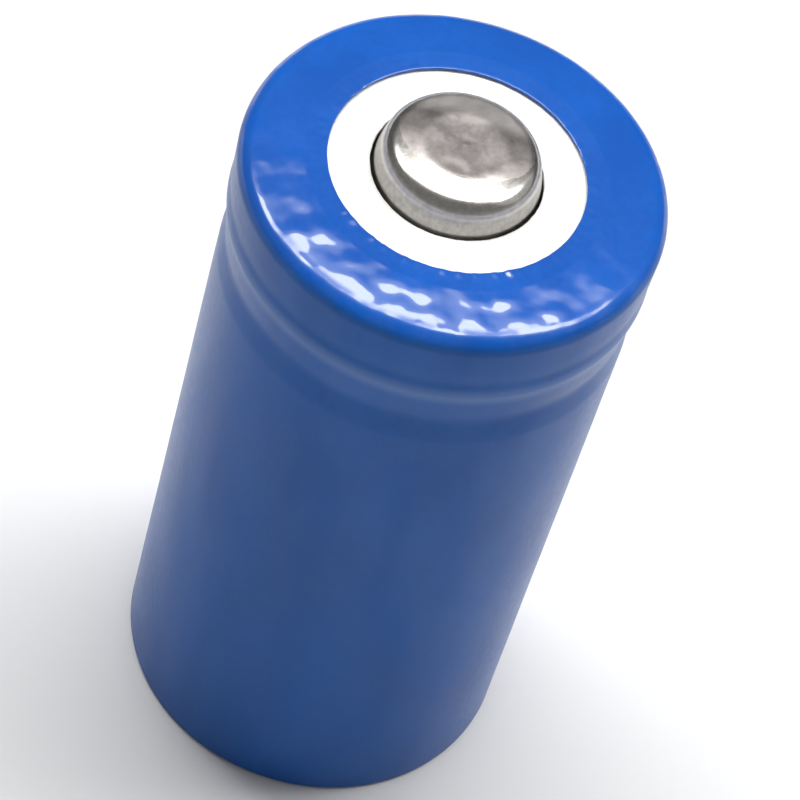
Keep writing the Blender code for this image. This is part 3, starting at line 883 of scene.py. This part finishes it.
def close_section(mesh):
    """Joins a turned mesh's two ends where they meet off the axis."""
    import bmesh
    bm = bmesh.new()
    bm.from_mesh(mesh)
    bmesh.ops.remove_doubles(bm, verts=bm.verts, dist=1e-8)
    open_edges = [e for e in bm.edges if e.is_boundary]
    if open_edges:
        bmesh.ops.bridge_loops(bm, edges=open_edges)
    bmesh.ops.recalc_face_normals(bm, faces=bm.faces)
    bm.to_mesh(mesh)
    bm.free()


def make_cid_spacer(look):
    mesh = lathe("cid_spacer", outward(soft_ring(5.25, 6.40, 29.74, 30.69, 0.10)), 192)
    return piece("cid_spacer", mesh, look, ["cid_insulator"], 40)


def make_contact_plate(look):
    holes = [circle(0.70, 40, 3.6 * math.cos(TAU * (k + 0.5) / 6), 3.6 * math.sin(TAU * (k + 0.5) / 6), -1)
             for k in range(6)]
    mesh = plate("perforated_plate", [circle(6.40, 160)] + holes, 29.35, 29.70, 0.05)
    return piece("perforated_plate", mesh, look, ["contact_plate"], 40)


# ---------------------------------------------------------------- winding

TURNS = 14
START_R = 1.60
PITCH = 4.79 / TURNS
CATHODE_T, SEPARATOR_T, ANODE_T = 0.118, 0.026, 0.110
GAP = (PITCH - CATHODE_T - ANODE_T - 2 * SEPARATOR_T) / 4


def electrode_section(t, z0, z1, foil, bare):
    """Coating on both faces of a foil that stands out a little at both ends."""
    a, b = t / 2 - foil / 2, t / 2 + foil / 2
    e = 0.02
    return ([(e, z0), (a, z0), (a, z0 - bare), (b, z0 - bare), (b, z0), (t - e, z0), (t, z0 + e),
             (t, z1 - e), (t - e, z1), (b, z1), (b, z1 + bare), (a, z1 + bare), (a, z1), (e, z1), (0, z1 - e), (0, z0 + e)],
            [0, 1, 1, 1, 0, 0, 0, 0, 0, 1, 1, 1, 0, 0, 0, 0])


def make_winding(looks):
    depth = 0.0
    made = []
    for name, node, t, z0, z1, turn0, turn1, slot, kind in (
            ("cathode_winding", "cathode_sheet", CATHODE_T, 2.00, 25.30, 0.45, TURNS - 0.55, "cathode_coating", "cathode"),
            ("separator_winding_a", "separator_inner", SEPARATOR_T, 1.10, 26.20, 0.0, TURNS, "separator_film", None),
            ("anode_winding", "anode_sheet", ANODE_T, 1.60, 25.70, 0.20, TURNS - 0.20, "anode_coating", "anode"),
            ("separator_winding_b", "separator_outer", SEPARATOR_T, 1.10, 26.20, 0.0, TURNS, "separator_film", None)):
        frames = spiral_frames(START_R + depth, PITCH, turn0, turn1, 60)
        if kind:
            section, kinds = electrode_section(t, z0, z1, 0.022, 0.10)
            mesh = sweep(name, frames, section, kinds)
            surfaces = [looks[kind], looks[kind + "_foil"]]
        else:
            section = [(0, z0), (t, z0), (t, z0 + 0.4), (t, z1 - 0.4), (t, z1), (0, z1), (0, z1 - 0.4), (0, z0 + 0.4)]
            mesh = sweep(name, frames, section)
            for v in mesh.vertices:      # the film's edges stand a little unevenly
                a = math.atan2(v.co.y, v.co.x)
                r = math.hypot(v.co.x, v.co.y) / MM
                for end, way in ((z0, 1), (z1, -1)):
                    if abs(v.co.z / MM - end) < 0.01:
                        v.co.z += way * 0.05 * MM * (1 + noise.noise(Vector((a * 3, r * 2.5, end))))
            surfaces = [looks["separator"]]
        made.append(piece(name, mesh, surfaces, [node], 40))
        depth += t + GAP
    tape_r = 7.45
    section = [(0, 7.5), (0.05, 7.5), (0.05, 24.5), (0, 24.5)]
    frames = spiral_frames(tape_r, 0.08, 0.0, 1.05, 180)
    mesh = sweep("closing_tape", frames, section)
    made.append(piece("closing_tape", mesh, looks["tape"], ["winding_tape"], 40))
    return made


def make_insulators(look):
    holes = [circle(1.30, 48, 0, 0, -1)]
    holes += [circle(0.75, 32, 4.4 * math.cos(math.radians(d)), 4.4 * math.sin(math.radians(d)), -1)
              for d in (110, 180, 250)]
    w, h, soft = 0.35, 1.95, 0.18
    slot = []
    for cx, cy, start in ((w - soft, h - soft, 0), (-w + soft, h - soft, 1), (-w + soft, -h + soft, 2), (w - soft, -h + soft, 3)):
        for k in range(6):
            a = math.pi / 2 * (start + k / 5)
            slot.append((4.55 + cx + soft * math.cos(a), cy + soft * math.sin(a)))
    holes.append(slot[::-1])
    top = plate("upper_insulator", [circle(7.75, 180)] + holes, 26.55, 26.80, 0.03)
    a = piece("upper_insulator", top, look, ["top_insulator"], 40)
    low = lathe("lower_insulator", outward(soft_ring(1.50, 7.25, 0.68, 0.93, 0.03)), 200)
    b = piece("lower_insulator", low, look, ["bottom_insulator"], 40)
    return a, b


def make_tabs(aluminium, nickel, tape):
    weld_z = 29.35 - 0.04 - 0.06
    mesh = ribbon("aluminium_tab", [(4.55, 26.25, 0), (4.55, 28.00, 0.55), (-3.10, 28.25, 0.50),
                                    (-3.10, weld_z, 0.50), (1.40, weld_z, 0)], 0.12, 3.0)
    piece("aluminium_tab", mesh, aluminium, ["cathode_tab"], 50)
    x = 4.55 + 0.06 + 0.04 + 0.025
    mesh = ribbon("aluminium_tab_tape", [(x, 26.28, 0), (x, 27.45, 0)], 0.05, 3.5)
    piece("aluminium_tab_tape", mesh, tape, ["cathode_tab_tape"], 50)
    under = 0.16 + 0.25 + 0.05 + 0.06
    mesh = ribbon("nickel_tab", [(7.56, 5.60, 0), (7.56, under, 0.14), (-1.40, under, 0)], 0.12, 3.0)
    piece("nickel_tab", mesh, nickel, ["anode_tab"], 50)
    x = 7.56 + 0.06 + 0.04 + 0.025
    mesh = ribbon("nickel_tab_tape", [(x, 1.20, 0), (x, 5.20, 0)], 0.05, 3.3)
    piece("nickel_tab_tape", mesh, tape, ["anode_tab_tape"], 50)


# ---------------------------------------------------------------- studio

def make_studio():
    scene = bpy.context.scene
    scene.view_settings.view_transform = "Standard"
    scene.view_settings.look = "None"

    mesh = build_mesh("floor", [(x, y, 0.0) for x, y in circle(3.0, 96)], [list(range(96))])
    floor = bpy.data.objects.new("floor", mesh)
    scene.collection.objects.link(floor)
    k = Look("pale_floor", (0.68, 0.68, 0.68), 0.7)
    k.set("Specular IOR Level", 0.15)
    k.colour(k.mix(k.between(k.noise(k.stretched(0.02, 0.02, 0.02)), 0.3, 0.7), (0.672, 0.672, 0.672), (0.688, 0.688, 0.688)))
    mesh.materials.append(k.material)

    data = bpy.data.lights.new("side_fill", "SUN")
    data.energy = FILL
    data.angle = math.radians(50.0)
    lamp = bpy.data.objects.new("side_fill", data)
    scene.collection.objects.link(lamp)
    lamp.rotation_mode = "QUATERNION"
    lamp.rotation_quaternion = (-Vector((0.80, 0.25, 0.55))).to_track_quat("-Z", "Y")
    make_world(scene)


def make_world(scene):
    """A dim room with one wide soft light overhead, a little beyond the zenith."""
    world = bpy.data.worlds.new("studio")
    scene.world = world
    world.use_nodes = True
    tree = world.node_tree
    tree.nodes.clear()

    def node(kind, **values):
        made = tree.nodes.new(kind)
        for key, value in values.items():
            setattr(made, key, value)
        return made

    link = tree.links.new
    way = node("ShaderNodeTexCoord").outputs["Generated"]

    def along(axis):
        made = node("ShaderNodeVectorMath", operation="DOT_PRODUCT")
        link(way, made.inputs[0])
        made.inputs[1].default_value = axis
        return made.outputs["Value"]

    def calc(operation, a, b):
        made = node("ShaderNodeMath", operation=operation)
        for value, socket in ((a, made.inputs[0]), (b, made.inputs[1])):
            if isinstance(value, bpy.types.NodeSocket):
                link(value, socket)
            else:
                socket.default_value = value
        return made.outputs[0]

    def within(value, inner, outer):
        made = node("ShaderNodeMapRange", interpolation_type="SMOOTHSTEP")
        link(value, made.inputs["Value"])
        for socket, number in (("From Min", inner), ("From Max", outer), ("To Min", 1.0), ("To Max", 0.0)):
            made.inputs[socket].default_value = number
        return made.outputs["Result"]

    tilt = math.radians(BOX_TILT)
    facing = along((0.0, math.sin(tilt), math.cos(tilt)))
    depth = calc("MAXIMUM", facing, 0.05)
    x = calc("ABSOLUTE", calc("DIVIDE", along((1.0, 0.0, 0.0)), depth), 0.0)
    y = calc("ABSOLUTE", calc("DIVIDE", along((0.0, math.cos(tilt), -math.sin(tilt))), depth), 0.0)
    box = calc("MULTIPLY", within(x, BOX_X * 0.90, BOX_X * 1.06), within(y, BOX_Y * 0.88, BOX_Y * 1.10))
    spill = calc("MULTIPLY", within(x, BOX_X * 0.95, BOX_X * 1.30), within(y, BOX_Y, BOX_Y * 2.6))
    box = calc("ADD", box, calc("MULTIPLY", spill, SPILL))
    front = calc("GREATER_THAN", facing, 0.2)
    behind = within(along((0.0, 1.0, 0.0)), 0.45, -0.15)
    room = calc("ADD", calc("MULTIPLY", behind, ROOM_FAR - ROOM_NEAR), ROOM_NEAR)
    strength = calc("ADD", calc("MULTIPLY", calc("MULTIPLY", box, front), BOX_LIGHT), room)
    glow = node("ShaderNodeBackground")
    link(strength, glow.inputs["Strength"])
    plain = node("ShaderNodeBackground")
    plain.inputs["Color"].default_value = (1, 1, 1, 1)
    ray = node("ShaderNodeLightPath")
    mix = node("ShaderNodeMixShader")
    link(ray.outputs["Is Camera Ray"], mix.inputs[0])
    link(glow.outputs[0], mix.inputs[1])
    link(plain.outputs[0], mix.inputs[2])
    link(mix.outputs[0], node("ShaderNodeOutputWorld").inputs["Surface"])


BOX_TILT = 18.0            # degrees beyond the zenith
BOX_X, BOX_Y = 0.78, 0.130 # half its width and depth, as tangents
BOX_LIGHT = 13.6
SPILL = 0.22               # of the box's brightness, on the ceiling close to it
ROOM_NEAR, ROOM_FAR = 0.30, 0.15
FILL = 0.25


# ---------------------------------------------------------------- everything

place_camera()
make_studio()

aluminium = sheet_metal_look("aluminium_sheet", (0.66, 0.67, 0.68), (0.82, 0.83, 0.84), 0.24, 0.38)
board = board_look("white_fibre_board", (0.84, 0.84, 0.82), (0.76, 0.76, 0.735))
inner_board = board_look("insulator_sheet", (0.86, 0.85, 0.79), (0.78, 0.77, 0.70), 0.8)
steel = steel_look()
polyimide = plastic_look("polyimide_tape", (0.62, 0.25, 0.015), (0.80, 0.37, 0.03), 0.16, 0.30, 5.0, 0.001)
seal = plastic_look("seal_polypropylene", (0.68, 0.70, 0.68), (0.76, 0.78, 0.76), 0.38, 0.50, 6.0, 0.003,
                    Subsurface_Weight=0.25, Subsurface_Scale=0.0006)
spacer = plastic_look("insulator_polymer", (0.12, 0.26, 0.50), (0.17, 0.33, 0.60), 0.42, 0.56)
nickel = sheet_metal_look("tab_nickel", (0.55, 0.52, 0.46), (0.70, 0.67, 0.61), 0.28, 0.42)

make_sleeve(film_look())
make_washer(board)
make_cap(cap_look())
make_can(steel)
make_gasket(seal)
make_ptc(ptc_look())
make_diaphragm(aluminium)
make_cid_spacer(spacer)
make_contact_plate(aluminium)
make_winding({
    "cathode": coating_look("cathode_coating", (0.018, 0.018, 0.021), (0.042, 0.042, 0.046), 0.66, 0.84),
    "anode": coating_look("anode_coating", (0.045, 0.046, 0.050), (0.085, 0.087, 0.092), 0.48, 0.66),
    "cathode_foil": sheet_metal_look("cathode_foil", (0.70, 0.71, 0.72), (0.84, 0.85, 0.86), 0.20, 0.34),
    "anode_foil": sheet_metal_look("anode_foil", (0.62, 0.30, 0.17), (0.80, 0.42, 0.26), 0.22, 0.36),
    "separator": plastic_look("separator_film", (0.84, 0.85, 0.86), (0.93, 0.94, 0.95), 0.45, 0.60, 12.0, 0.001),
    "tape": plastic_look("winding_tape_film", (0.07, 0.34, 0.15), (0.12, 0.46, 0.22), 0.26, 0.40, 5.0, 0.001)})
make_insulators(inner_board)
make_tabs(aluminium, nickel, polyimide)
